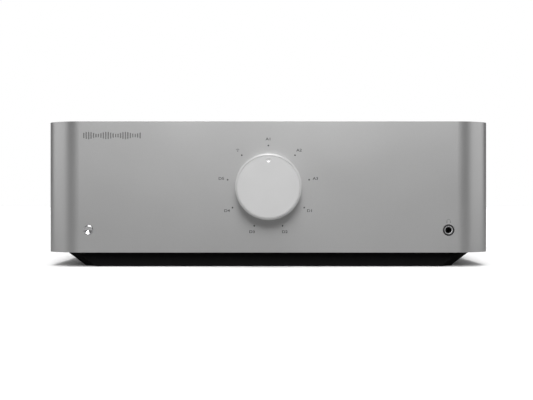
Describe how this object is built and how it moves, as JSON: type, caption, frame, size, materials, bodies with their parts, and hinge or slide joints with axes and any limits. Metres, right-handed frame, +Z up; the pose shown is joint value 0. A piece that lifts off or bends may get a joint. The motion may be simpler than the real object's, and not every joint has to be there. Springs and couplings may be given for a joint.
{
  "type": "integrated amplifier",
  "caption": "Wide low hi-fi amplifier with a wrap-round aluminium front, one large central volume knob over a source ring, a bevelled black base and a full rear socket panel.",
  "frame": {"origin": "centre of the footprint, on the surface that the feet stand on", "axes": "+X to the right of someone facing the front, along the long side; +Y from front to rear; +Z up"},
  "size_m": [0.46, 0.405, 0.15],
  "materials": {
    "wrap_aluminium": "fine satin anodised, neutral grey",
    "cover_aluminium": "fine satin anodised, neutral grey",
    "knob_aluminium": "pale satin, spun or bead-blasted",
    "chrome": "polished",
    "steel": "zinc plated",
    "black_metal": "satin black",
    "black_plastic": "moulded, matt",
    "red_plastic": "moulded, clear gloss",
    "rubber": "matt",
    "gilt_brass": "gold plated",
    "circuit_board": "solder mask",
    "winding": "taped winding",
    "capacitor_sleeve": "shrink sleeve"
  },
  "bodies": {
    "chassis": {"front_wrap": "wrap_aluminium", "top_cover": "cover_aluminium", "headphone_jack": "chrome", "chassis_tray": "steel", "button_spring": "steel", "clamp_plate": "steel", "clamp_bolt": "steel", "data_socket": "steel", "audio_return_socket": "steel", "plinth": "black_metal", "rear_panel": "black_metal", "heatsink_left": "black_metal", "heatsink_right": "black_metal", "balanced_socket_left": "black_metal", "balanced_socket_right": "black_metal", "jack_ring": "black_plastic", "selector_encoder": "black_plastic", "volume_encoder": "black_plastic", "power_switch": "black_plastic", "output_transistors_left": "black_plastic", "output_transistors_right": "black_plastic", "phono_block": "black_plastic", "digital_block": "black_plastic", "mains_inlet": "black_plastic", "rocker_housing": "black_plastic", "foot_front_left": "rubber", "foot_front_right": "rubber", "foot_rear_left": "rubber", "foot_rear_right": "rubber", "transformer_pad": "rubber", "spindle_bush": "gilt_brass", "speaker_block_left": "gilt_brass", "speaker_block_right": "gilt_brass", "control_board": "circuit_board", "supply_board": "circuit_board", "amplifier_board_left": "circuit_board", "amplifier_board_right": "circuit_board", "input_board": "circuit_board", "toroid_lower": "winding", "toroid_upper": "winding", "reservoir_capacitor_1": "capacitor_sleeve", "reservoir_capacitor_2": "capacitor_sleeve", "reservoir_capacitor_3": "capacitor_sleeve", "reservoir_capacitor_4": "capacitor_sleeve"},
    "volume_dial": {"volume_knob": "knob_aluminium", "volume_shaft": "steel"},
    "source_dial": {"selector_ring": "knob_aluminium", "selector_sleeve": "gilt_brass"},
    "power_button": {"power_button": "knob_aluminium"},
    "mains_rocker": {"mains_rocker": "black_plastic"},
    "optical_flap_1": {"optical_flap_1": "black_plastic"},
    "optical_flap_2": {"optical_flap_2": "black_plastic"},
    "post_collar_left_minus": {"post_collar_left_minus": "gilt_brass"},
    "post_cap_left_minus": {"post_cap_left_minus": "black_plastic"},
    "post_collar_left_plus": {"post_collar_left_plus": "gilt_brass"},
    "post_cap_left_plus": {"post_cap_left_plus": "red_plastic"},
    "post_collar_right_minus": {"post_collar_right_minus": "gilt_brass"},
    "post_cap_right_minus": {"post_cap_right_minus": "black_plastic"},
    "post_collar_right_plus": {"post_collar_right_plus": "gilt_brass"},
    "post_cap_right_plus": {"post_cap_right_plus": "red_plastic"}
  },
  "joints": [
    {"name": "volume_turn", "type": "hinge", "parent": "chassis", "child": "volume_dial", "pos_m": [0, -0.1745, 0.0825], "axis": [0, 1, 0], "range_deg": [-150, 150]},
    {"name": "source_turn", "type": "hinge", "parent": "chassis", "child": "source_dial", "pos_m": [0, -0.1745, 0.0825], "axis": [0, 1, 0], "continuous": true},
    {"name": "power_press", "type": "slide", "parent": "chassis", "child": "power_button", "axis": [0, 1, 0], "range_m": [0, 0.0012], "stiffness_N_per_m": 400, "deforming": ["button_spring"]},
    {"name": "rocker_tip", "type": "hinge", "parent": "chassis", "child": "mains_rocker", "pos_m": [-0.13163, 0.1813, 0.05947], "axis": [1, 0, 0], "range_deg": [-20, 0]},
    {"name": "optical_flap_1_swing", "type": "hinge", "parent": "chassis", "child": "optical_flap_1", "pos_m": [-0.02, 0.1828, 0.11218], "axis": [1, 0, 0], "range_deg": [-80, 0], "stiffness_Nm_per_rad": 0.001},
    {"name": "optical_flap_2_swing", "type": "hinge", "parent": "chassis", "child": "optical_flap_2", "pos_m": [-0.035, 0.1828, 0.11218], "axis": [1, 0, 0], "range_deg": [-80, 0], "stiffness_Nm_per_rad": 0.001},
    {"name": "post_left_minus_lift", "type": "slide", "parent": "chassis", "child": "post_collar_left_minus", "axis": [0, 1, 0], "range_m": [0, 0.002]},
    {"name": "post_left_minus_turn", "type": "hinge", "parent": "post_collar_left_minus", "child": "post_cap_left_minus", "pos_m": [-0.1732, 0.1805, 0.05947], "axis": [0, 1, 0], "range_deg": [0, 720]},
    {"name": "post_left_plus_lift", "type": "slide", "parent": "chassis", "child": "post_collar_left_plus", "axis": [0, 1, 0], "range_m": [0, 0.002]},
    {"name": "post_left_plus_turn", "type": "hinge", "parent": "post_collar_left_plus", "child": "post_cap_left_plus", "pos_m": [-0.1732, 0.1805, 0.10883], "axis": [0, 1, 0], "range_deg": [0, 720]},
    {"name": "post_right_minus_lift", "type": "slide", "parent": "chassis", "child": "post_collar_right_minus", "axis": [0, 1, 0], "range_m": [0, 0.002]},
    {"name": "post_right_minus_turn", "type": "hinge", "parent": "post_collar_right_minus", "child": "post_cap_right_minus", "pos_m": [0.1732, 0.1805, 0.05947], "axis": [0, 1, 0], "range_deg": [0, 720]},
    {"name": "post_right_plus_lift", "type": "slide", "parent": "chassis", "child": "post_collar_right_plus", "axis": [0, 1, 0], "range_m": [0, 0.002]},
    {"name": "post_right_plus_turn", "type": "hinge", "parent": "post_collar_right_plus", "child": "post_cap_right_plus", "pos_m": [0.1732, 0.1805, 0.10883], "axis": [0, 1, 0], "range_deg": [0, 720]}
  ],
  "couplings": [
    {"joint": "post_left_minus_turn", "follows": "post_left_minus_lift", "rad_per_m": 6283.2},
    {"joint": "post_left_plus_turn", "follows": "post_left_plus_lift", "rad_per_m": 6283.2},
    {"joint": "post_right_minus_turn", "follows": "post_right_minus_lift", "rad_per_m": 6283.2},
    {"joint": "post_right_plus_turn", "follows": "post_right_plus_lift", "rad_per_m": 6283.2}
  ]
}
